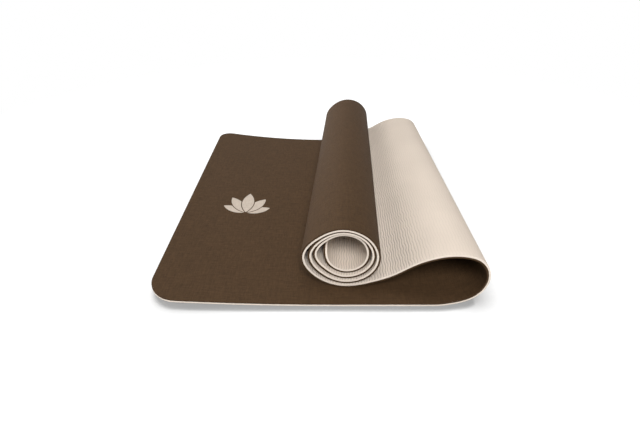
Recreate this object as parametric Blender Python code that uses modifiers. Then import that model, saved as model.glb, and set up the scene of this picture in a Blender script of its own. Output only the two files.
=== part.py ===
"""Yoga mat, half unrolled: it lies flat, folds back over itself and ends in a loose roll.

The mat is one sheet of two foam layers. Its shape is a ruled surface between its near edge
(towards -Y) and its far edge (towards +Y). Each edge is one smooth line in space, drawn from
the lifted end of the lower run, round the fold, along the upper run and into the roll.
The origin is on the floor under the middle of the roll.
"""
import math

import bpy
import numpy as np

MM = 0.001

# The sheet
MAT_LENGTH = 1820 * MM
MAT_WIDTH = 610 * MM
MAT_THICKNESS = 6 * MM
TOP_THICKNESS = 2.7 * MM
BOND_CLEARANCE = 0.3 * MM
# The corners are cut to a larger radius on the near edge than on the far edge
NEAR_CORNER_RADIUS = 48 * MM
FAR_CORNER_RADIUS = 32 * MM

# The lower run: how high its end has curled up at each edge, and how much of it has lifted
NEAR_END_LIFT = 12 * MM
FAR_END_LIFT = 24 * MM
LIFTED_LENGTH = 300 * MM
LIFT_POWER = 2.0
# How far the end's far corner has drawn in behind its near corner
FAR_DRAWN_IN = 9 * MM

# The roll: how far its centre line runs askew, and the mean radius of its outer turn
ROLL_SKEW = 40 * MM
NEAR_ROLL_RADIUS = 57.3 * MM
FAR_ROLL_RADIUS = 51.3 * MM
# The far end is a little lower than it is wide, and bulges less towards the lower run
FAR_HEIGHT_SHARE = 0.935
FAR_BULGE_SHARE = 0.7
# How far the roll's ends stand back from the edges of the lower run
ROLL_SET_BACK = 36 * MM
ROLL_CLEARANCE = 0.4 * MM
TURN_CLEARANCE = 0.5 * MM
NEAR_LOOSENESS = 4.7 * MM
FAR_LOOSENESS = 2 * MM
TURN_STEP = 6 * MM

# Radius of the outer turn every eighth of a turn from the roll's foot, as shares of the mean
FIRST_TURN_SHARES = (1.012, 1.028, 1.120, 0.962, 0.966, 0.969, 0.978, 0.941)
# Radius an eighth of a turn before the foot, where the upper run comes in
LEAD_SHARE = 1.165
# Slack between each turn and the next one in, from the foot on, as shares of the looseness
SLACK_SHARES = (
    (0.18, 0.83, 0.98, 0.23, 0.16, 0.08, 0.12, 0.33),
    (0.18, 0.38, 0.32, 0.12, 0.06, 0.08, 0.43, 0.10),
    (0.12, 0.55, 2.05, 0.04),
)
# How much sooner than a full eighth of a turn the sheet's inner end is reached
INNER_END_SHORT = 0.15
# How far each turn is pushed in from the one outside it, as shares of the turn step
STEP_SHARES = (0.0, 0.35, 1.0, 2.0)

# The fold: how far its nose reaches from the roll's centre, and how high it stands
NEAR_FOLD_REACH = 224.2 * MM
FAR_FOLD_REACH = 183.4 * MM
NEAR_FOLD_HEIGHT = 84.4 * MM
FAR_FOLD_HEIGHT = 56.8 * MM
# The fold's outline from the floor round the nose to the roll, as shares of reach and height
FOLD_SHARES = (
    (0.649, 0.000),
    (0.770, 0.011),
    (0.865, 0.062),
    (0.960, 0.230),
    (1.000, 0.534),
    (0.946, 0.873),
    (0.815, 1.000),
    (0.658, 0.937),
    (0.505, 0.728),
    (0.358, 0.416),
)

# How finely the sheet is divided
STEPS_PER_EIGHTH = 3
STEPS_PER_FOLD_POINT = 3
CORNER_STEPS = 5
LIFT_STEPS = 6
ROWS = 6
EIGHTHS = 8

TOP_COLOUR = (0.080, 0.052, 0.032, 1.0)
BASE_COLOUR = (0.66, 0.57, 0.485, 1.0)
ROUGHNESS = 0.85

BASE_THICKNESS = MAT_THICKNESS - TOP_THICKNESS - BOND_CLEARANCE


class Edge:
    """One long edge of the mat, with the sizes that differ between the two."""

    def __init__(self, y, lift, roll_x, radius, height_share, bulge_share, looseness, reach, height):
        self.y = y
        self.lift = lift
        self.roll_x = roll_x
        self.radius = radius
        self.height_share = height_share
        self.bulge_share = bulge_share
        self.looseness = looseness
        self.reach = reach
        self.height = height


NEAR = Edge(-MAT_WIDTH / 2, NEAR_END_LIFT, -ROLL_SKEW / 2, NEAR_ROLL_RADIUS, 1, 1,
            NEAR_LOOSENESS, NEAR_FOLD_REACH, NEAR_FOLD_HEIGHT)
FAR = Edge(MAT_WIDTH / 2, FAR_END_LIFT, ROLL_SKEW / 2, FAR_ROLL_RADIUS, FAR_HEIGHT_SHARE,
           FAR_BULGE_SHARE, FAR_LOOSENESS, FAR_FOLD_REACH, FAR_FOLD_HEIGHT)
ROLL_YAW = math.atan2(ROLL_SKEW, MAT_WIDTH)


def turn_radii(edge):
    """Radius of the sheet every eighth of a turn, from one eighth before the roll's foot."""
    radii = []
    for k, share in enumerate(FIRST_TURN_SHARES):
        rounder = 1 + (share - 1) * edge.bulge_share
        radii.append(rounder * edge.radius * flattening(edge, k))
    for turn in SLACK_SHARES:
        for share in turn:
            pitch = MAT_THICKNESS + TURN_CLEARANCE + share * edge.looseness
            radii.append(radii[-EIGHTHS] - pitch)
    return [LEAD_SHARE * edge.radius * flattening(edge, -1)] + radii


def flattening(edge, k):
    """The share of its radius that the roll keeps where it has sunk lower than it is wide."""
    angle = 2 * math.pi * k / EIGHTHS
    return math.hypot(math.sin(angle), edge.height_share * math.cos(angle))


def roll_outline(edge):
    """The roll's section about its own centre: across, up and how far each point is pushed in."""
    outline = []
    radii = turn_radii(edge)
    eighths = np.arange(-1.0, len(radii) - 1)
    eighths[-1] -= INNER_END_SHORT
    for k, radius in zip(eighths, radii):
        angle = -math.pi / 2 - 2 * math.pi * k / EIGHTHS
        turns = max(k, 0) / EIGHTHS
        push = TURN_STEP * np.interp(turns, range(len(STEP_SHARES)), STEP_SHARES)
        outline.append((radius * math.cos(angle), radius * math.sin(angle), push))
    return np.array(outline)


def fold_outline(edge):
    """The fold's section from where the sheet leaves the floor to where it nears the roll."""
    x = [edge.roll_x + across * edge.reach for across, _ in FOLD_SHARES]
    z = [BASE_THICKNESS + up * edge.height for _, up in FOLD_SHARES]
    return np.array(x), np.array(z)


def edge_points(edge):
    """The points in space that one edge's line runs through, from the floor to its inner end."""
    fold_x, fold_z = fold_outline(edge)
    roll = roll_outline(edge)
    across, up, push = roll.T
    lowest = up[:EIGHTHS].min()
    seat = BASE_THICKNESS + BOND_CLEARANCE + TOP_THICKNESS + ROLL_CLEARANCE
    centre_z = seat + BOND_CLEARANCE + TOP_THICKNESS - lowest
    roll_x = edge.roll_x + across * math.cos(ROLL_YAW) + push * math.sin(ROLL_YAW)
    roll_y = ROLL_SET_BACK - across * math.sin(ROLL_YAW) + push * math.cos(ROLL_YAW)
    run = np.hypot(np.diff(np.append(fold_x, roll_x[0])), np.diff(np.append(fold_z, centre_z + up[0])))
    travelled = np.concatenate([[0], np.cumsum(run)])
    drift = roll_y[0] * travelled / travelled[-1]
    x = np.concatenate([fold_x, roll_x])
    y = edge.y + np.concatenate([drift[:-1], roll_y])
    z = np.concatenate([fold_z, centre_z + up])
    return np.stack([x, y, z], axis=1)


def spline(knots, values, at, start_slope):
    """Cubic spline through the values, with a given slope where it starts and a free end."""
    count = len(knots)
    gaps = np.diff(knots)
    slopes = np.diff(values, axis=0) / gaps[:, None]
    matrix = np.zeros((count, count))
    right = np.zeros_like(values)
    matrix[0, :2] = 2 * gaps[0], gaps[0]
    right[0] = 6 * (slopes[0] - start_slope)
    for i in range(1, count - 1):
        matrix[i, i - 1:i + 2] = gaps[i - 1], 2 * (gaps[i - 1] + gaps[i]), gaps[i]
        right[i] = 6 * (slopes[i] - slopes[i - 1])
    matrix[-1, -1] = 1
    bends = np.linalg.solve(matrix, right)
    i = np.clip(np.searchsorted(knots, at, side="right") - 1, 0, count - 2)
    width = gaps[i][:, None]
    after = (at - knots[i])[:, None] / width
    before = 1 - after
    return (before * values[i] + after * values[i + 1]
            + ((before ** 3 - before) * bends[i] + (after ** 3 - after) * bends[i + 1]) * width ** 2 / 6)


def wound_lines():
    """Both edges from the floor round the fold and into the roll, point for point."""
    near, far = edge_points(NEAR), edge_points(FAR)
    chords = np.linalg.norm(np.diff((near + far) / 2, axis=0), axis=1)
    knots = np.concatenate([[0], np.cumsum(chords)])
    at = []
    for i, (low, high) in enumerate(zip(knots[:-1], knots[1:])):
        steps = STEPS_PER_FOLD_POINT if i < len(FOLD_SHARES) else STEPS_PER_EIGHTH
        at.extend(np.linspace(low, high, steps, endpoint=False))
    at.append(knots[-1])
    level = np.array([1.0, 0.0, 0.0])
    return spline(knots, near, np.array(at), level), spline(knots, far, np.array(at), level)


def lower_lines(near_wound):
    """Both edges of the lower run, from its lifted end to where the fold begins."""
    wound_length = np.linalg.norm(np.diff(near_wound, axis=0), axis=1).sum()
    end_x = near_wound[0, 0] - (MAT_LENGTH - wound_length)
    corner = NEAR_CORNER_RADIUS * (1 - np.cos(np.linspace(0, math.pi / 2, CORNER_STEPS + 1)))
    lifted = np.linspace(NEAR_CORNER_RADIUS, LIFTED_LENGTH, LIFT_STEPS + 1)[1:]
    from_end = np.concatenate([corner, lifted])
    lines = []
    for edge, drawn_in in ((NEAR, 0), (FAR, FAR_DRAWN_IN)):
        raised = np.clip(1 - from_end / LIFTED_LENGTH, 0, 1)
        x = end_x + from_end + drawn_in * raised
        z = BASE_THICKNESS + edge.lift * raised ** LIFT_POWER
        lines.append(np.stack([x, np.full_like(z, edge.y), z], axis=1))
    return lines


def corner_inset(from_end, radius):
    """The share of the width by which a rounded corner draws an edge in, near the mat's end."""
    short = np.clip(radius - from_end, 0, radius)
    return (radius - np.sqrt(radius ** 2 - short ** 2)) / MAT_WIDTH


def sheet_grid():
    """The face where the two layers meet: columns along the mat, rows across it."""
    near_wound, far_wound = wound_lines()
    near_lower, far_lower = lower_lines(near_wound)
    near = np.concatenate([near_lower, near_wound])
    far = np.concatenate([far_lower, far_wound])
    along = np.concatenate([[0], np.cumsum(np.linalg.norm(np.diff(near, axis=0), axis=1))])
    from_end = np.minimum(along, along[-1] - along)
    near_inset = corner_inset(from_end, NEAR_CORNER_RADIUS)[:, None]
    far_inset = corner_inset(from_end, FAR_CORNER_RADIUS)[:, None]
    across = near_inset + (1 - near_inset - far_inset) * np.linspace(0, 1, ROWS + 1)
    return near[:, None] + across[:, :, None] * (far - near)[:, None]


def sheet_mesh(name):
    """An open mesh over the grid, with its normals towards the mat's upper face."""
    grid = sheet_grid()
    columns, rows = grid.shape[:2]
    faces = []
    for i in range(columns - 1):
        for j in range(rows - 1):
            first = i * rows + j
            faces.append((first, first + rows, first + rows + 1, first + 1))
    mesh = bpy.data.meshes.new(name)
    mesh.from_pydata(grid.reshape(-1, 3).tolist(), [], faces)
    mesh.shade_smooth()
    return mesh


def material(name, colour):
    made = bpy.data.materials.new(name)
    made.use_nodes = True
    shader = made.node_tree.nodes["Principled BSDF"]
    shader.inputs["Base Color"].default_value = colour
    shader.inputs["Roughness"].default_value = ROUGHNESS
    shader.inputs["Metallic"].default_value = 0.0
    return made


def layer(name, thickness, side, lift, look, collection, parent):
    """One foam layer: the shared sheet, moved off the bond and thickened to its own side."""
    mesh = sheet_mesh(name)
    mesh.materials.append(look)
    made = bpy.data.objects.new(name, mesh)
    made.parent = parent
    collection.objects.link(made)
    if lift:
        off_bond = made.modifiers.new("Off the bond", "DISPLACE")
        off_bond.mid_level = 0.0
        off_bond.strength = lift
    thick = made.modifiers.new("Thickness", "SOLIDIFY")
    thick.thickness = thickness
    thick.offset = side
    thick.use_even_offset = True
    return made


def clear_scene():
    for old in list(bpy.data.objects):
        bpy.data.objects.remove(old, do_unlink=True)


def main():
    clear_scene()
    collection = bpy.data.collections.new("Yoga mat")
    bpy.context.scene.collection.children.link(collection)
    centre = bpy.data.objects.new("mat_origin", None)
    collection.objects.link(centre)
    brown = material("brown_foam", TOP_COLOUR)
    beige = material("beige_foam", BASE_COLOUR)
    layer("base_layer", BASE_THICKNESS, -1, 0, beige, collection, centre)
    layer("top_layer", TOP_THICKNESS, 1, BOND_CLEARANCE, brown, collection, centre)


main()
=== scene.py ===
"""Yoga mat, half unrolled: the two foam layers with their finish, the stage and the camera.

The mat's shape is a ruled surface between its near edge (towards -Y) and its far edge (towards +Y).
Each edge is one smooth line in space, from the lifted end of the lower run, round the fold, along
the upper run and into the roll. A flat grid of the mat's real size is laid onto that surface.
"""

import math
from typing import NamedTuple

import bmesh
import bpy
import numpy as np
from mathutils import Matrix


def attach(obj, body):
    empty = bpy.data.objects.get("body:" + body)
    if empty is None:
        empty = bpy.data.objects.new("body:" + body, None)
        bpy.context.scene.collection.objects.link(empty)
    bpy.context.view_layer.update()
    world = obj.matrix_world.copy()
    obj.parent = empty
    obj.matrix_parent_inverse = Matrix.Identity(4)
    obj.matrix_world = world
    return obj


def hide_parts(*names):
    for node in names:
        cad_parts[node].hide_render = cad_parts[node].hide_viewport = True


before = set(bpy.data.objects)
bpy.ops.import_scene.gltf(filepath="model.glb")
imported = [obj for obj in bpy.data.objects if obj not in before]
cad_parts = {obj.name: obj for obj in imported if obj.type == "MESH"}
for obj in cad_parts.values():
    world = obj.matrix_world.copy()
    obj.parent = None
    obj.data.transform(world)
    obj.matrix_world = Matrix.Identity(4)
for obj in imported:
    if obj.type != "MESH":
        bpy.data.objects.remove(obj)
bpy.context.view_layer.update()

bl_info = {
    "name": "Yoga Mat",
    "version": (1, 0, 0),
    "blender": (4, 5, 0),
    "location": "View3D > Sidebar > Yoga Mat",
    "description": "Makes a half-unrolled two-layer yoga mat and its studio stage",
    "category": "Object",
}

MM = 0.001

# The sheet
MAT_LENGTH = 1820 * MM
MAT_WIDTH = 610 * MM
MAT_THICKNESS = 6 * MM
TOP_THICKNESS = 2.7 * MM
BOND_CLEARANCE = 0.3 * MM
NEAR_CORNER_RADIUS = 48 * MM
FAR_CORNER_RADIUS = 32 * MM
BASE_THICKNESS = MAT_THICKNESS - TOP_THICKNESS - BOND_CLEARANCE

# The lower run: where its end lies, how high it has curled up, and how much of it has lifted
FREE_END_X = -333.4 * MM
NEAR_END_LIFT = 12 * MM
FAR_END_LIFT = 24 * MM
LIFTED_LENGTH = 300 * MM
LIFT_POWER = 2.0
FAR_DRAWN_IN = 9 * MM

# The roll
ROLL_SKEW = 40 * MM
NEAR_ROLL_RADIUS = 57.3 * MM
FAR_ROLL_RADIUS = 51.3 * MM
FAR_HEIGHT_SHARE = 0.935
FAR_BULGE_SHARE = 0.7
ROLL_SET_BACK = 36 * MM
ROLL_CLEARANCE = 0.4 * MM
TURN_CLEARANCE = 0.5 * MM
NEAR_LOOSENESS = 4.7 * MM
FAR_LOOSENESS = 2 * MM
TURN_STEP = 6 * MM
EIGHTHS = 8

# Radius of the outer turn every eighth of a turn from the roll's foot, as shares of the mean
FIRST_TURN_SHARES = (1.012, 1.028, 1.120, 0.962, 0.966, 0.969, 0.978, 0.941)
# Radius an eighth of a turn before the foot, where the upper run comes in
LEAD_SHARE = 1.165
# Slack between each turn and the next one in, from the foot on, as shares of the looseness
SLACK_SHARES = (
    (0.18, 0.83, 0.98, 0.23, 0.16, 0.08, 0.12, 0.33),
    (0.18, 0.38, 0.32, 0.12, 0.06, 0.08, 0.43, 0.10),
    (0.12, 0.55, 2.05, 0.04),
)
# How much sooner than a full eighth of a turn the sheet's inner end is reached
INNER_END_SHORT = 0.15
# How far each turn is pushed in from the one outside it, as shares of the turn step
STEP_SHARES = (0.0, 0.35, 1.0, 2.0)

# The fold: how far its nose reaches from the roll's centre, and how high it stands
NEAR_FOLD_REACH = 224.2 * MM
FAR_FOLD_REACH = 183.4 * MM
NEAR_FOLD_HEIGHT = 84.4 * MM
FAR_FOLD_HEIGHT = 56.8 * MM
# The fold's outline from the floor round the nose to the roll, as shares of reach and height
FOLD_SHARES = (
    (0.649, 0.000),
    (0.770, 0.011),
    (0.865, 0.062),
    (0.960, 0.230),
    (1.000, 0.534),
    (0.946, 0.873),
    (0.815, 1.000),
    (0.658, 0.937),
    (0.505, 0.728),
    (0.358, 0.416),
)


class Edge(NamedTuple):
    """One long edge of the mat, with the sizes that differ between the two."""

    y: float
    lift: float
    drawn_in: float
    roll_x: float
    radius: float
    height_share: float
    bulge_share: float
    looseness: float
    reach: float
    height: float


NEAR = Edge(y=-MAT_WIDTH / 2, lift=NEAR_END_LIFT, drawn_in=0, roll_x=-ROLL_SKEW / 2,
            radius=NEAR_ROLL_RADIUS, height_share=1, bulge_share=1, looseness=NEAR_LOOSENESS,
            reach=NEAR_FOLD_REACH, height=NEAR_FOLD_HEIGHT)
FAR = Edge(y=MAT_WIDTH / 2, lift=FAR_END_LIFT, drawn_in=FAR_DRAWN_IN, roll_x=ROLL_SKEW / 2,
           radius=FAR_ROLL_RADIUS, height_share=FAR_HEIGHT_SHARE, bulge_share=FAR_BULGE_SHARE,
           looseness=FAR_LOOSENESS, reach=FAR_FOLD_REACH, height=FAR_FOLD_HEIGHT)
ROLL_YAW = math.atan2(ROLL_SKEW, MAT_WIDTH)

# How finely the edges' lines are drawn before the sheet is laid along them
LINE_POINTS = 6000
# Faces that meet at less than this angle are shaded smooth
SMOOTH_ANGLE = math.radians(35)


def turn_radii(edge):
    """Radius of the sheet every eighth of a turn, from one eighth before the roll's foot."""
    radii = []
    for k, share in enumerate(FIRST_TURN_SHARES):
        rounder = 1 + (share - 1) * edge.bulge_share
        radii.append(rounder * edge.radius * flattening(edge, k))
    for turn in SLACK_SHARES:
        for share in turn:
            pitch = MAT_THICKNESS + TURN_CLEARANCE + share * edge.looseness
            radii.append(radii[-EIGHTHS] - pitch)
    return [LEAD_SHARE * edge.radius * flattening(edge, -1)] + radii


def flattening(edge, k):
    """The share of its radius that the roll keeps where it has sunk lower than it is wide."""
    angle = 2 * math.pi * k / EIGHTHS
    return math.hypot(math.sin(angle), edge.height_share * math.cos(angle))


def roll_outline(edge):
    """The roll's section about its own centre: across, up and how far each point is pushed in."""
    outline = []
    radii = turn_radii(edge)
    eighths = np.arange(-1.0, len(radii) - 1)
    eighths[-1] -= INNER_END_SHORT
    for k, radius in zip(eighths, radii):
        angle = -math.pi / 2 - 2 * math.pi * k / EIGHTHS
        turns = max(k, 0) / EIGHTHS
        push = TURN_STEP * np.interp(turns, range(len(STEP_SHARES)), STEP_SHARES)
        outline.append((radius * math.cos(angle), radius * math.sin(angle), push))
    return np.array(outline)


def edge_points(edge):
    """The points in space that one edge's line runs through, from the floor to its inner end."""
    fold_x = np.array([edge.roll_x + across * edge.reach for across, _ in FOLD_SHARES])
    fold_z = np.array([BASE_THICKNESS + up * edge.height for _, up in FOLD_SHARES])
    across, up, push = roll_outline(edge).T
    lowest = up[:EIGHTHS].min()
    seat = BASE_THICKNESS + BOND_CLEARANCE + TOP_THICKNESS + ROLL_CLEARANCE
    centre_z = seat + BOND_CLEARANCE + TOP_THICKNESS - lowest
    roll_x = edge.roll_x + across * math.cos(ROLL_YAW) + push * math.sin(ROLL_YAW)
    roll_y = ROLL_SET_BACK - across * math.sin(ROLL_YAW) + push * math.cos(ROLL_YAW)
    steps_x = np.diff(np.append(fold_x, roll_x[0]))
    steps_z = np.diff(np.append(fold_z, centre_z + up[0]))
    travelled = np.concatenate([[0], np.cumsum(np.hypot(steps_x, steps_z))])
    drift = roll_y[0] * travelled / travelled[-1]
    x = np.concatenate([fold_x, roll_x])
    y = edge.y + np.concatenate([drift[:-1], roll_y])
    z = np.concatenate([fold_z, centre_z + up])
    return np.stack([x, y, z], axis=1)


def spline(knots, values, at, start_slope):
    """Cubic spline through the values, with a given slope where it starts and a free end."""
    count = len(knots)
    gaps = np.diff(knots)
    slopes = np.diff(values, axis=0) / gaps[:, None]
    matrix = np.zeros((count, count))
    right = np.zeros_like(values)
    matrix[0, :2] = 2 * gaps[0], gaps[0]
    right[0] = 6 * (slopes[0] - start_slope)
    for i in range(1, count - 1):
        matrix[i, i - 1:i + 2] = gaps[i - 1], 2 * (gaps[i - 1] + gaps[i]), gaps[i]
        right[i] = 6 * (slopes[i] - slopes[i - 1])
    matrix[-1, -1] = 1
    bends = np.linalg.solve(matrix, right)
    i = np.clip(np.searchsorted(knots, at, side="right") - 1, 0, count - 2)
    width = gaps[i][:, None]
    after = (at - knots[i])[:, None] / width
    before = 1 - after
    bent = (before ** 3 - before) * bends[i] + (after ** 3 - after) * bends[i + 1]
    return before * values[i] + after * values[i + 1] + bent * width ** 2 / 6


def wound_lines():
    """Both edges from the floor round the fold and into the roll, finely drawn, point for point."""
    near, far = edge_points(NEAR), edge_points(FAR)
    chords = np.linalg.norm(np.diff((near + far) / 2, axis=0), axis=1)
    knots = np.concatenate([[0], np.cumsum(chords)])
    at = np.linspace(0, knots[-1], LINE_POINTS)
    level = np.array([1.0, 0.0, 0.0])
    return spline(knots, near, at, level), spline(knots, far, at, level)


def at_distance(line, distance, wanted):
    """Points of a line at the wanted distances along it."""
    return np.stack([np.interp(wanted, distance, line[:, axis]) for axis in range(3)], axis=1)


def mat_surface(stations, rows):
    """Where the flat sheet's points lie: stations along the mat's near edge, rows across it."""
    near_wound, far_wound = wound_lines()
    distance = np.concatenate([[0], np.cumsum(np.linalg.norm(np.diff(near_wound, axis=0), axis=1))])
    lower_length = near_wound[0, 0] - FREE_END_X
    along = stations * (lower_length + distance[-1]) / MAT_LENGTH
    lower = along[along < lower_length]
    beyond = along[len(lower):] - lower_length
    lines = []
    for edge, wound in ((NEAR, near_wound), (FAR, far_wound)):
        raised = np.clip(1 - lower / LIFTED_LENGTH, 0, 1)
        x = FREE_END_X + lower + edge.drawn_in * raised
        z = BASE_THICKNESS + edge.lift * raised ** LIFT_POWER
        flat = np.stack([x, np.full_like(z, edge.y), z], axis=1)
        lines.append(np.concatenate([flat, at_distance(wound, distance, beyond)]))
    near, far = lines
    from_end = np.minimum(stations, MAT_LENGTH - stations)
    near_inset = corner_inset(from_end, NEAR_CORNER_RADIUS)[:, None]
    far_inset = corner_inset(from_end, FAR_CORNER_RADIUS)[:, None]
    across = near_inset + (1 - near_inset - far_inset) * np.linspace(0, 1, rows + 1)
    return near[:, None] + across[:, :, None] * (far - near)[:, None], across


def corner_inset(from_end, radius):
    """The share of the width by which a rounded corner draws an edge in, near the mat's end."""
    short = np.clip(radius - from_end, 0, radius)
    return (radius - np.sqrt(radius ** 2 - short ** 2)) / MAT_WIDTH


def station_marks(step, corner_steps=16):
    """Distances from the free end at which the sheet is divided, closer together at its corners."""
    corner = NEAR_CORNER_RADIUS * (1 - np.cos(np.linspace(0, math.pi / 2, corner_steps + 1)))
    between = np.arange(NEAR_CORNER_RADIUS, MAT_LENGTH - NEAR_CORNER_RADIUS, step)[1:]
    return np.concatenate([corner, between, MAT_LENGTH - corner[::-1]])


def laid_sheet(name, step, rows):
    """A flat grid, laid onto the mat's surface, with the flat sheet kept as its UV map."""
    stations = station_marks(step)
    columns = len(stations) - 1
    bpy.ops.object.select_all(action="DESELECT")
    bpy.ops.mesh.primitive_grid_add(x_subdivisions=columns, y_subdivisions=rows, size=2)
    sheet = bpy.context.object
    sheet.name = sheet.data.name = name
    mesh = sheet.data
    # The new grid runs from -1 to 1 both ways
    flat = np.empty(len(mesh.vertices) * 3)
    mesh.vertices.foreach_get("co", flat)
    flat = flat.reshape(-1, 3)
    column = np.rint((flat[:, 0] + 1) / 2 * columns).astype(int)
    row = np.rint((flat[:, 1] + 1) / 2 * rows).astype(int)
    surface, across = mat_surface(stations, rows)
    mesh.vertices.foreach_set("co", surface[column, row].ravel())
    corner = np.empty(len(mesh.loops), dtype=int)
    mesh.loops.foreach_get("vertex_index", corner)
    uv = np.stack([stations[column] / MAT_LENGTH, across[column, row]], axis=1)
    mesh.uv_layers[0].name = "flat_sheet"
    mesh.uv_layers[0].data.foreach_set("uv", uv[corner].ravel())
    mesh.update()
    return sheet


def thicken(sheet, thickness, side):
    """Gives the open sheet its thickness, with the cut edge in the second material slot."""
    bpy.ops.object.modifier_add(type="SOLIDIFY")
    wall = sheet.modifiers[-1]
    wall.thickness = thickness
    wall.offset = side
    wall.use_even_offset = True
    wall.material_offset_rim = 1
    bpy.ops.object.modifier_apply(modifier=wall.name)


def round_outer_edge(sheet, open_count, radius):
    """Rounds the long edge where the outer face meets the cut edge."""
    bpy.ops.object.mode_set(mode="EDIT")
    bpy.ops.mesh.select_mode(type="EDGE")
    bpy.ops.mesh.select_all(action="DESELECT")
    shape = bmesh.from_edit_mesh(sheet.data)
    for edge in shape.edges:
        outer = all(vertex.index >= open_count for vertex in edge.verts)
        slots = {face.material_index for face in edge.link_faces}
        edge.select_set(outer and len(slots) == 2)
    bmesh.update_edit_mesh(sheet.data)
    bpy.ops.mesh.bevel(offset=radius, offset_type="OFFSET", segments=3, affect="EDGES", material=1)
    bpy.ops.mesh.select_all(action="SELECT")
    bpy.ops.mesh.normals_make_consistent(inside=False)
    bpy.ops.object.mode_set(mode="OBJECT")


# Materials


class Pores(NamedTuple):
    """Pores of a foam: their size and depth, and how much the foam's tone drifts over the sheet."""

    cell: float
    depth: float
    drift: float


RIBBED_PORES = Pores(cell=0.7 * MM, depth=0.12 * MM, drift=0.10)
LINEN_PORES = Pores(cell=0.8 * MM, depth=0.1 * MM, drift=0.12)
EDGE_PORES = Pores(cell=0.5 * MM, depth=0.15 * MM, drift=0.10)
# Scales of the noise that makes a foam's tone drift, and of the one that makes its ribs wander
DRIFT_SCALE = 14.0
WANDER_SCALE = 60.0

# The ribs: the power that rounds their backs, and how much narrower than a rib the groove is
RIB_ROUNDING = 0.6
GROOVE_NARROWING = 2.2
# The darkest painted shade in the grooves, as a share of the foam's colour
PAINTED_GROOVE_SHADE_TONE = 0.45
# Where the foam is stretched round the fold: its middle on the flat sheet, half its length, the
# length over which the grooves close again, and how much of their relief and painted shade stays
FOLD_MIDDLE = 565 * MM
FOLD_HALF = 93 * MM
FOLD_EASING = 60 * MM
STRETCHED_SHARE = 0.2

# The tone of the brown foam's cut edge, as a share of its face's colour
BROWN_EDGE_TONE = 0.95
# The coarser threads of the linen grain: their scale and strength beside the fine ones
SLUB_SCALE = 0.36
SLUB_STRENGTH = 0.6
# How much of the threads shows through the ink
INK_CONTRAST = 0.30
# The flower's petals, the ones behind first: degrees from upright, then length and half width as
# shares of the flower's size
PETALS = (
    (66, 0.60, 0.115),
    (-66, 0.60, 0.115),
    (34, 0.74, 0.135),
    (-34, 0.74, 0.135),
    (0, 0.84, 0.15),
)
# Where a petal starts from the flower's foot, and the bare line round one laid over another
PETAL_START = 0.03
PETAL_GAP = 0.022
# How sharply the ink ends, per metre
INK_SHARPNESS = 4000.0


def add(tree, kind, inputs=None, **settings):
    """Adds a node to a tree, and links or sets its inputs."""
    made = tree.nodes.new(kind)
    for name, value in settings.items():
        setattr(made, name, value)
    for key, value in (inputs or {}).items():
        if isinstance(value, bpy.types.NodeSocket):
            tree.links.new(value, made.inputs[key])
        else:
            made.inputs[key].default_value = value
    return made


def maths(tree, operation, *values, clamp=False):
    """The result of a math node on values or sockets."""
    inputs = dict(enumerate(values))
    return add(tree, "ShaderNodeMath", inputs, operation=operation, use_clamp=clamp).outputs[0]


def mix_colour(tree, share, first, second, blend="MIX"):
    """The first colour mixed with a share of the second."""
    made = add(tree, "ShaderNodeMix", data_type="RGBA", blend_type=blend)
    for key, value in (("Factor_Float", share), ("A_Color", first), ("B_Color", second)):
        socket = next(s for s in made.inputs if s.identifier == key)
        if isinstance(value, bpy.types.NodeSocket):
            tree.links.new(value, socket)
        else:
            socket.default_value = value
    return next(s for s in made.outputs if s.identifier == "Result_Color")


def new_group(name, inputs, outputs):
    """An empty node group with the named sockets; gives its tree, input node and output node."""
    tree = bpy.data.node_groups.new(name, "ShaderNodeTree")
    for label, kind, value in inputs:
        socket = tree.interface.new_socket(label, in_out="INPUT", socket_type="NodeSocket" + kind)
        if value is not None:
            socket.default_value = value
    for label, kind in outputs:
        tree.interface.new_socket(label, in_out="OUTPUT", socket_type="NodeSocket" + kind)
    return tree, tree.nodes.new("NodeGroupInput"), tree.nodes.new("NodeGroupOutput")


def slow_noise(tree, place, scale, detail):
    """A noise that runs evenly below and above zero."""
    noise = add(tree, "ShaderNodeTexNoise", {"Vector": place, "Scale": scale, "Detail": detail})
    return maths(tree, "SUBTRACT", noise.outputs[0], 0.5)


def wavy_ribs_group():
    """Rounded ribs across the mat, all in the same long wave, with narrow grooves between."""
    tree, given, out = new_group(
        "wavy_ribs",
        [("Vector", "Vector", None), ("Spacing", "Float", 4.8 * MM),
         ("Wave length", "Float", 22 * MM), ("Wave height", "Float", 0.55 * MM),
         ("Wander", "Float", 4.8 * MM)],
        [("Height", "Float"), ("Groove", "Float")])
    place = add(tree, "ShaderNodeSeparateXYZ", {0: given.outputs["Vector"]})
    turn = maths(tree, "DIVIDE", place.outputs[1], given.outputs["Wave length"])
    wave = maths(tree, "SINE", maths(tree, "MULTIPLY", turn, 2 * math.pi))
    shift = maths(tree, "MULTIPLY", wave, given.outputs["Wave height"])
    slow = slow_noise(tree, given.outputs["Vector"], WANDER_SCALE, detail=1.0)
    stray = maths(tree, "MULTIPLY", slow, given.outputs["Wander"])
    along = maths(tree, "ADD", maths(tree, "ADD", place.outputs[0], shift), stray)
    phase = maths(tree, "DIVIDE", along, given.outputs["Spacing"])
    arch = maths(tree, "ABSOLUTE", maths(tree, "SINE", maths(tree, "MULTIPLY", phase, math.pi)))
    height = maths(tree, "POWER", arch, RIB_ROUNDING)
    narrow = maths(tree, "MULTIPLY", arch, GROOVE_NARROWING)
    groove = maths(tree, "SUBTRACT", 1.0, narrow, clamp=True)
    tree.links.new(height, out.inputs["Height"])
    tree.links.new(groove, out.inputs["Groove"])
    return tree


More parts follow.
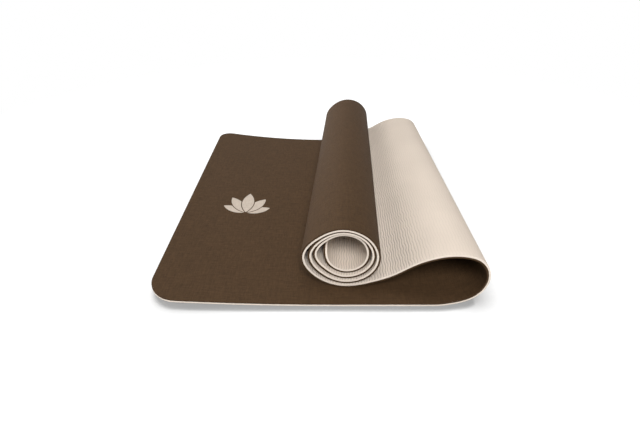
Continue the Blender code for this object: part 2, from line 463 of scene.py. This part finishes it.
def linen_grain_group():
    """A fine pressed weave: threads both ways, each of uneven strength."""
    tree, given, out = new_group(
        "linen_grain",
        [("Vector", "Vector", None), ("Thread", "Float", 1.6 * MM), ("Length", "Float", 12 * MM)],
        [("Height", "Float"), ("Tone", "Float")])
    fine = maths(tree, "DIVIDE", 1.0, given.outputs["Thread"])
    long = maths(tree, "DIVIDE", 1.0, given.outputs["Length"])
    stretched = []
    for x, y in ((fine, long), (long, fine)):
        shape = add(tree, "ShaderNodeCombineXYZ", {0: x, 1: y, 2: 1.0}).outputs[0]
        stretched.append(add(tree, "ShaderNodeVectorMath", {0: given.outputs["Vector"], 1: shape},
                             operation="MULTIPLY").outputs[0])
    threads = [slow_noise(tree, place, 1.0, detail=2.0) for place in stretched]
    slubs = [slow_noise(tree, place, SLUB_SCALE, detail=2.0) for place in stretched]
    weave = maths(tree, "ADD", *threads)
    uneven = maths(tree, "MULTIPLY", maths(tree, "ADD", *slubs), SLUB_STRENGTH)
    tree.links.new(maths(tree, "ADD", weave, 0.5), out.inputs["Height"])
    tree.links.new(maths(tree, "ADD", weave, uneven), out.inputs["Tone"])
    return tree


def foam_cells_group():
    """Pores of closed-cell foam, with a slow change of tone over the sheet."""
    tree, given, out = new_group(
        "foam_cells",
        [("Vector", "Vector", None), ("Cell", "Float", 0.6 * MM)],
        [("Height", "Float"), ("Tone", "Float")])
    density = maths(tree, "DIVIDE", 1.0, given.outputs["Cell"])
    place = given.outputs["Vector"]
    cells = add(tree, "ShaderNodeTexVoronoi", {"Vector": place, "Scale": density},
                feature="SMOOTH_F1")
    tree.links.new(cells.outputs["Distance"], out.inputs["Height"])
    tree.links.new(slow_noise(tree, place, DRIFT_SCALE, detail=3.0), out.inputs["Tone"])
    return tree


def sum_of_squares(tree, first, second):
    """The sum of two values' squares."""
    squares = [maths(tree, "MULTIPLY", value, value) for value in (first, second)]
    return maths(tree, "ADD", *squares)


def petal_group():
    """A leaf-shaped petal from the origin, turned by an angle: 1 inside it, 0 outside."""
    tree, given, out = new_group(
        "petal",
        [("Vector", "Vector", None), ("Angle", "Float", 0.0), ("Start", "Float", 0.0),
         ("Length", "Float", 50 * MM), ("Half width", "Float", 12 * MM), ("Grow", "Float", 0.0)],
        [("Inside", "Float")])
    turned = add(tree, "ShaderNodeVectorRotate",
                 {"Vector": given.outputs["Vector"], "Angle": given.outputs["Angle"]},
                 rotation_type="Z_AXIS")
    place = add(tree, "ShaderNodeSeparateXYZ", {0: turned.outputs[0]})
    half = maths(tree, "MULTIPLY", given.outputs["Length"], 0.5)
    width = given.outputs["Half width"]
    # Each side of the petal is an arc with its centre beyond the petal's middle line
    radius = maths(tree, "DIVIDE", sum_of_squares(tree, half, width),
                   maths(tree, "MULTIPLY", width, 2.0))
    aside = maths(tree, "SUBTRACT", radius, width)
    from_start = maths(tree, "SUBTRACT", place.outputs[1], given.outputs["Start"])
    up = maths(tree, "SUBTRACT", from_start, half)
    outward = maths(tree, "ADD", maths(tree, "ABSOLUTE", place.outputs[0]), aside)
    reach = maths(tree, "SQRT", sum_of_squares(tree, outward, up))
    within = maths(tree, "ADD", maths(tree, "SUBTRACT", radius, reach), given.outputs["Grow"])
    inside = maths(tree, "MULTIPLY", within, INK_SHARPNESS, clamp=True)
    tree.links.new(inside, out.inputs["Inside"])
    return tree


def new_material(name, colour, roughness, specular):
    """A material with its node tree and its shader."""
    made = bpy.data.materials.new(name)
    made.use_nodes = True
    shader = made.node_tree.nodes["Principled BSDF"]
    shader.inputs["Base Color"].default_value = colour
    shader.inputs["Roughness"].default_value = roughness
    shader.inputs["Specular IOR Level"].default_value = specular
    made.diffuse_color = colour
    return made, made.node_tree, shader


def flat_place(tree, centre=(0.0, 0.0)):
    """The place on the flat sheet in metres, measured from a centre."""
    uv = add(tree, "ShaderNodeUVMap", uv_map="flat_sheet")
    size = add(tree, "ShaderNodeMapping",
               {"Vector": uv.outputs[0], "Scale": (MAT_LENGTH, MAT_WIDTH, 1.0),
                "Location": (-centre[0], -centre[1], 0.0)})
    return size.outputs[0]


def group_node(tree, group, inputs):
    """Places a node group with its own values."""
    return add(tree, "ShaderNodeGroup", inputs, node_tree=group)


def bump(tree, shader, layers):
    """Stacks bumps, coarse to fine, into the shader's normal."""
    normal = None
    for height, depth in layers:
        inputs = {"Height": height, "Distance": depth, "Strength": 1.0}
        if normal is not None:
            inputs["Normal"] = normal
        normal = add(tree, "ShaderNodeBump", inputs).outputs[0]
    tree.links.new(normal, shader.inputs["Normal"])


def toned(tree, colour, tone, amount):
    """The colour made lighter and darker by a tone around zero."""
    gain = maths(tree, "ADD", maths(tree, "MULTIPLY", tone, amount), 1.0)
    grey = add(tree, "ShaderNodeCombineColor", {0: gain, 1: gain, 2: gain})
    return mix_colour(tree, 1.0, colour, grey.outputs[0], blend="MULTIPLY")


def porous(tree, groups, place, colour, pores):
    """The colour with the foam's drift of tone, and the bump layer of its pores."""
    cells = group_node(tree, groups["cells"], {"Vector": place, "Cell": pores.cell})
    colour = toned(tree, colour, cells.outputs["Tone"], pores.drift)
    return colour, (cells.outputs["Height"], pores.depth)


def ribbed_foam(finish, groups):
    """Beige foam with wavy ribs and painted shade in their grooves, which open out where it is
    stretched round the fold.
    """
    made, tree, shader = new_material("beige_ribbed_foam", finish.base_colour,
                                      roughness=0.80, specular=0.12)
    place = flat_place(tree)
    along = add(tree, "ShaderNodeSeparateXYZ", {0: place}).outputs[0]
    from_fold = maths(tree, "ABSOLUTE", maths(tree, "SUBTRACT", along, FOLD_MIDDLE))
    closed = add(tree, "ShaderNodeMapRange",
                 {0: from_fold, 1: FOLD_HALF, 2: FOLD_HALF + FOLD_EASING,
                  3: STRETCHED_SHARE, 4: 1.0},
                 interpolation_type="SMOOTHSTEP").outputs[0]
    ribs = group_node(tree, groups["ribs"], {"Vector": place, "Spacing": finish.rib_spacing})
    colour, pores = porous(tree, groups, place, finish.base_colour, RIBBED_PORES)
    # Painted shade: the grooves are darkened in the colour, less where they open out round the fold
    strength = maths(tree, "MULTIPLY", closed, finish.painted_groove_shade)
    shade = maths(tree, "MULTIPLY", ribs.outputs["Groove"], strength)
    painted_groove_shade_colour = [c * PAINTED_GROOVE_SHADE_TONE for c in finish.base_colour[:3]] + [1.0]
    colour = mix_colour(tree, shade, colour, painted_groove_shade_colour)
    tree.links.new(colour, shader.inputs["Base Color"])
    height = maths(tree, "MULTIPLY", ribs.outputs["Height"], closed)
    bump(tree, shader, [(height, finish.rib_depth), pores])
    return made


def linen_foam(finish, groups):
    """Brown foam with a linen-like grain and its printed flower."""
    made, tree, shader = new_material("brown_linen_foam", finish.top_colour,
                                      roughness=0.72, specular=0.12)
    place = flat_place(tree)
    grain = group_node(tree, groups["linen"], {"Vector": place})
    colour = toned(tree, finish.top_colour, grain.outputs["Tone"], finish.grain_contrast)
    colour, pores = porous(tree, groups, place, colour, LINEN_PORES)
    ink = toned(tree, finish.ink_colour, grain.outputs["Tone"], INK_CONTRAST)
    colour = mix_colour(tree, flower_mark(tree, groups["petal"], finish), colour, ink)
    tree.links.new(colour, shader.inputs["Base Color"])
    bump(tree, shader, [(grain.outputs["Height"], finish.grain_depth), pores])
    return made


def flower_mark(tree, petal, finish):
    """A plain five-petalled flower in ink, its front petals laid over the ones behind."""
    size = finish.mark_size
    place = flat_place(tree, (finish.mark_place[0], finish.mark_place[1]))
    mask = None
    for angle, length, half_width in PETALS:
        shape = {"Vector": place, "Angle": math.radians(angle), "Start": PETAL_START * size,
                 "Length": length * size, "Half width": half_width * size}
        inside = group_node(tree, petal, shape).outputs[0]
        if mask is None:
            mask = inside
            continue
        cleared = group_node(tree, petal, {**shape, "Grow": PETAL_GAP * size}).outputs[0]
        mask = maths(tree, "MULTIPLY", mask, maths(tree, "SUBTRACT", 1.0, cleared))
        mask = maths(tree, "MAXIMUM", mask, inside)
    return mask


def cut_edge_foam(name, colour, groups):
    """The sheet's cut edge: plain foam with open pores, without the face's pattern."""
    made, tree, shader = new_material(name, colour, roughness=0.85, specular=0.15)
    place = add(tree, "ShaderNodeTexCoord").outputs["Object"]
    colour, pores = porous(tree, groups, place, colour, EDGE_PORES)
    tree.links.new(colour, shader.inputs["Base Color"])
    bump(tree, shader, [pores])
    return made


def shared_groups():
    """The node groups that several foams use, built once."""
    makers = {"ribs": ("wavy_ribs", wavy_ribs_group), "linen": ("linen_grain", linen_grain_group),
              "cells": ("foam_cells", foam_cells_group), "petal": ("petal", petal_group)}
    return {key: bpy.data.node_groups.get(name) or maker() for key, (name, maker) in makers.items()}


# Properties, operators and panel

# The camera, fitted to the mat's straight edges in a frame this many pixels wide: its focal length
# and how far below the horizon it looks, both in pixels
FRAME_WIDTH = 640.0
FOCAL_PIXELS = 420.0
HORIZON_PIXELS = 288.6
SENSOR_WIDTH = 36.0

# The lamps: name, place, width and share of the front lamp's power
LAMPS = (
    ("front", (0.0, -2.5, 2.7), 1.5, 1.0),
    ("top", (0.0, 0.1, 1.8), 1.1, 0.078),
    ("low_left", (-2.6, 0.5, 0.6), 1.0, 0.31),
    ("back_left", (-0.5, 0.8, 0.7), 0.6, 0.012),
)

FLOOR_SIZE = 12.0
FLOOR_DROP = 0.3 * MM
# The floor's painted soft shadow, close by and further out: its reach as a multiple of the contact
# width, its strength, and the leaned normal about which the occlusion is taken, which steers it
SHADOWS = (
    (1, 1.5, (0.0, 0.6, 0.8)),
    (5, 1.0, (-0.12, 0.65, 0.75)),
)
SHADOW_SAMPLES = 8
DARKEST_SHADOW = 0.68
# How the floor is seen near the mat: its own light, and how much of the lamps' it gives back
FLOOR_GLOW = 0.75
FLOOR_TONE = (0.4, 0.4, 0.4, 1.0)
# The distances between which the floor fades to white
WHITE_FROM = 0.6
WHITE_BY = 1.2
WHITE = (1.0, 1.0, 1.0, 1.0)


def number_property(name, description, default, **limits):
    """A plain number, or one with a unit."""
    return bpy.props.FloatProperty(name=name, description=description, default=default, **limits)


def length_property(name, description, default):
    """A length in metres."""
    return number_property(name, description, default, unit="LENGTH", precision=5)


def colour_property(name, description, default):
    """A colour with its alpha."""
    return bpy.props.FloatVectorProperty(name=name, description=description, default=default,
                                         size=4, subtype="COLOR", min=0.0, max=1.0)


class YogaMatForm(bpy.types.PropertyGroup):
    """How finely the mat is modelled and how its edges are finished."""

    station_step: length_property(
        "Step along", "Distance between divisions along the mat", 3.6 * MM)
    rows: bpy.props.IntProperty(
        name="Rows across", description="Divisions across the mat's width", default=44, min=4)
    edge_radius: length_property("Edge radius", "Rounding of the cut edges", 0.5 * MM)
    seam: length_property("Seam", "Hairline between the two layers", 0.02 * MM)


class YogaMatFinish(bpy.types.PropertyGroup):
    """Colours and surface patterns of the two foams."""

    top_colour: colour_property(
        "Top colour", "Brown of the upper foam layer", (0.052, 0.0287, 0.0132, 1.0))
    base_colour: colour_property(
        "Base colour", "Beige of the lower foam layer", (0.637, 0.55, 0.468, 1.0))
    edge_colour: colour_property(
        "Edge colour", "Beige of the lower layer's cut edge", (0.66, 0.58, 0.50, 1.0))
    ink_colour: colour_property(
        "Ink colour", "Beige of the printed flower", (0.47, 0.40, 0.335, 1.0))
    rib_spacing: length_property(
        "Rib spacing", "Distance between ribs of the beige face", 4.8 * MM)
    rib_depth: length_property("Rib depth", "Depth of the grooves between ribs", 0.8 * MM)
    # Painted shade: how much the grooves are darkened in the foam's colour
    painted_groove_shade: number_property(
        "Groove shade", "How much the grooves darken", 0.75, min=0.0, max=1.0)
    grain_depth: length_property(
        "Grain depth", "Depth of the linen grain of the brown face", 0.25 * MM)
    grain_contrast: number_property(
        "Grain contrast", "Difference between light and dark threads", 0.60, min=0.0, max=1.0)
    mark_size: length_property("Flower size", "Size of the printed flower", 84 * MM)
    mark_place: bpy.props.FloatVectorProperty(
        name="Flower place",
        description="Foot of the printed flower, from the free end and the near edge",
        default=(122 * MM, 244 * MM), size=2, unit="LENGTH")


class YogaMatStage(bpy.types.PropertyGroup):
    """The studio: camera, light and floor."""

    focal_length: number_property(
        "Focal length", "Camera lens on a 36 mm sensor", SENSOR_WIDTH * FOCAL_PIXELS / FRAME_WIDTH,
        min=10.0, unit="CAMERA")
    camera_pitch: number_property(
        "Camera pitch", "How far the camera looks down", math.atan2(HORIZON_PIXELS, FOCAL_PIXELS),
        subtype="ANGLE")
    camera_place: bpy.props.FloatVectorProperty(
        name="Camera place", description="Where the camera stands",
        default=(-0.056, -0.76995, 0.49984), size=3, subtype="TRANSLATION")
    sky_strength: number_property("Sky strength", "Even light from all around", 0.02, min=0.0)
    key_power: number_property(
        "Front lamp", "Power of the large front lamp, which the others follow", 143.0,
        min=0.0, unit="POWER")
    contact_width: length_property(
        "Contact width", "How far the contact shadow spreads on the floor", 13 * MM)
    floor_colour: colour_property(
        "Floor colour", "The pale floor, as it lights the mat", (0.82, 0.82, 0.82, 1.0))


class YOGAMAT_OT_base_sheet(bpy.types.Operator):
    """Make the beige lower layer: ribbed foam, laid out, folded back and rolled up"""

    bl_idname = "yogamat.base_sheet"
    bl_label = "Beige lower layer"

    def execute(self, context):
        form, finish = context.scene.yoga_mat_form, context.scene.yoga_mat_finish
        groups = shared_groups()
        sheet = laid_sheet("beige_lower_sheet", form.station_step, form.rows)
        open_count = len(sheet.data.vertices)
        sheet.data.materials.append(ribbed_foam(finish, groups))
        cut_edge = cut_edge_foam("beige_cut_edge", finish.edge_colour, groups)
        sheet.data.materials.append(cut_edge)
        thicken(sheet, BASE_THICKNESS, -1)
        round_outer_edge(sheet, open_count, form.edge_radius)
        bpy.ops.object.shade_smooth_by_angle(angle=SMOOTH_ANGLE)
        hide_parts("base_layer")
        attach(sheet, "root")
        return {"FINISHED"}


class YOGAMAT_OT_top_sheet(bpy.types.Operator):
    """Make the brown upper layer: linen-grained foam with its printed flower"""

    bl_idname = "yogamat.top_sheet"
    bl_label = "Brown upper layer"

    def execute(self, context):
        form, finish = context.scene.yoga_mat_form, context.scene.yoga_mat_finish
        groups = shared_groups()
        sheet = laid_sheet("brown_upper_sheet", form.station_step, form.rows)
        open_count = len(sheet.data.vertices)
        edge_colour = [c * BROWN_EDGE_TONE for c in finish.top_colour[:3]] + [1.0]
        sheet.data.materials.append(linen_foam(finish, groups))
        cut_edge = cut_edge_foam("brown_cut_edge", edge_colour, groups)
        sheet.data.materials.append(cut_edge)
        bpy.ops.object.modifier_add(type="DISPLACE")
        sheet.modifiers[-1].mid_level = 0.0
        sheet.modifiers[-1].strength = form.seam
        bpy.ops.object.modifier_apply(modifier=sheet.modifiers[-1].name)
        thicken(sheet, BOND_CLEARANCE + TOP_THICKNESS - form.seam, 1)
        round_outer_edge(sheet, open_count, form.edge_radius)
        bpy.ops.object.shade_smooth_by_angle(angle=SMOOTH_ANGLE)
        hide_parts("top_layer")
        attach(sheet, "root")
        return {"FINISHED"}


def seen_as(tree, real, shown):
    """Gives the shown shader to the camera and to mirrors and glass, and the real one to light."""
    path = add(tree, "ShaderNodeLightPath")
    seen = maths(tree, "MAXIMUM", path.outputs["Is Camera Ray"], path.outputs["Is Glossy Ray"])
    seen = maths(tree, "MAXIMUM", seen, path.outputs["Is Transmission Ray"])
    return add(tree, "ShaderNodeMixShader", {0: seen, 1: real, 2: shown}).outputs[0]


class YOGAMAT_OT_stage(bpy.types.Operator):
    """Set the pale floor, the soft light and the camera"""

    bl_idname = "yogamat.stage"
    bl_label = "Stage"

    def execute(self, context):
        settings = context.scene.yoga_mat_stage
        self.make_floor(settings)
        self.make_sky(context, settings)
        self.make_lamps(settings)
        self.make_camera(context, settings)
        return {"FINISHED"}

    def make_floor(self, settings):
        bpy.ops.object.select_all(action="DESELECT")
        bpy.ops.mesh.primitive_plane_add(size=FLOOR_SIZE, location=(0, 0, -FLOOR_DROP))
        floor = bpy.context.object
        floor.name = "pale_floor"
        made, tree, shader = new_material("pale_floor", settings.floor_colour,
                                          roughness=0.9, specular=0.0)
        # Painted shadow: the floor's glow and tone are darkened where the mat occludes it
        open_share = self.open_floor(tree, settings)
        grey = add(tree, "ShaderNodeCombineColor", {0: open_share, 1: open_share, 2: open_share})
        glow = add(tree, "ShaderNodeEmission", {0: grey.outputs[0], 1: FLOOR_GLOW})
        tone = mix_colour(tree, 1.0, FLOOR_TONE, grey.outputs[0], blend="MULTIPLY")
        lit = add(tree, "ShaderNodeBsdfDiffuse", {0: tone})
        near = add(tree, "ShaderNodeAddShader", {0: lit.outputs[0], 1: glow.outputs[0]})
        place = add(tree, "ShaderNodeTexCoord").outputs["Object"]
        away = add(tree, "ShaderNodeVectorMath", {0: place}, operation="LENGTH").outputs["Value"]
        far = add(tree, "ShaderNodeMapRange", {0: away, 1: WHITE_FROM, 2: WHITE_BY}).outputs[0]
        white = add(tree, "ShaderNodeEmission", {0: WHITE, 1: 1.0})
        shown = add(tree, "ShaderNodeMixShader", {0: far, 1: near.outputs[0], 2: white.outputs[0]})
        surface = seen_as(tree, shader.outputs[0], shown.outputs[0])
        tree.links.new(surface, tree.nodes["Material Output"].inputs["Surface"])
        floor.data.materials.append(made)

    def open_floor(self, tree, settings):
        """How open the floor lies to the light, from 1 down to where its painted shadow is darkest.
        """
        covers = []
        for reach, strength, shadow_normal in SHADOWS:
            normal = add(tree, "ShaderNodeCombineXYZ", dict(enumerate(shadow_normal))).outputs[0]
            around = add(tree, "ShaderNodeAmbientOcclusion",
                         {"Distance": settings.contact_width * reach, "Normal": normal},
                         samples=SHADOW_SAMPLES)
            covered = maths(tree, "SUBTRACT", 1.0, around.outputs["AO"])
            covers.append(maths(tree, "MULTIPLY", covered, strength))
        shadow = maths(tree, "MINIMUM", maths(tree, "ADD", *covers), DARKEST_SHADOW)
        return maths(tree, "SUBTRACT", 1.0, shadow)

    def make_sky(self, context, settings):
        world = bpy.data.worlds.new("studio")
        context.scene.world = world
        world.use_nodes = True
        tree = world.node_tree
        sky = tree.nodes["Background"]
        sky.inputs["Color"].default_value = WHITE
        sky.inputs["Strength"].default_value = settings.sky_strength
        white = add(tree, "ShaderNodeBackground", {"Color": WHITE, "Strength": 1.0})
        surface = seen_as(tree, sky.outputs[0], white.outputs[0])
        tree.links.new(surface, tree.nodes["World Output"].inputs["Surface"])

    def make_lamps(self, settings):
        for name, place, size, share in LAMPS:
            bpy.ops.object.light_add(type="AREA", location=place)
            lamp = bpy.context.object
            lamp.name = name
            lamp.data.shape = "DISK"
            lamp.data.size = size
            lamp.data.energy = settings.key_power * share
            lamp.rotation_euler = (-lamp.location).to_track_quat("-Z", "Y").to_euler()

    def make_camera(self, context, settings):
        turn = (math.pi / 2 - settings.camera_pitch, 0.0, 0.0)
        bpy.ops.object.camera_add(location=settings.camera_place, rotation=turn)
        camera = bpy.context.object
        camera.data.sensor_width = SENSOR_WIDTH
        camera.data.lens = settings.focal_length
        camera.data.clip_start = 10 * MM
        context.scene.camera = camera


class YOGAMAT_PT_sidebar(bpy.types.Panel):
    """Lists the mat's pieces and the stage"""

    bl_idname = "YOGAMAT_PT_sidebar"
    bl_label = "Yoga Mat"
    bl_space_type = "VIEW_3D"
    bl_region_type = "UI"
    bl_category = "Yoga Mat"

    def draw(self, context):
        layout = self.layout
        for group in (context.scene.yoga_mat_form, context.scene.yoga_mat_finish,
                      context.scene.yoga_mat_stage):
            column = layout.column(align=True)
            for name in group.__annotations__:
                column.prop(group, name)
        for operator in STEPS:
            layout.operator(operator.bl_idname)


STEPS = (YOGAMAT_OT_base_sheet, YOGAMAT_OT_top_sheet, YOGAMAT_OT_stage)
CLASSES = (YogaMatForm, YogaMatFinish, YogaMatStage) + STEPS + (YOGAMAT_PT_sidebar,)


def register():
    for each in CLASSES:
        bpy.utils.register_class(each)
    bpy.types.Scene.yoga_mat_form = bpy.props.PointerProperty(type=YogaMatForm)
    bpy.types.Scene.yoga_mat_finish = bpy.props.PointerProperty(type=YogaMatFinish)
    bpy.types.Scene.yoga_mat_stage = bpy.props.PointerProperty(type=YogaMatStage)


def unregister():
    del bpy.types.Scene.yoga_mat_form
    del bpy.types.Scene.yoga_mat_finish
    del bpy.types.Scene.yoga_mat_stage
    for each in reversed(CLASSES):
        bpy.utils.unregister_class(each)


def main():
    register()
    bpy.context.scene.view_settings.view_transform = "Standard"
    bpy.ops.yogamat.base_sheet()
    bpy.ops.yogamat.top_sheet()
    bpy.ops.yogamat.stage()


if __name__ == "__main__":
    main()
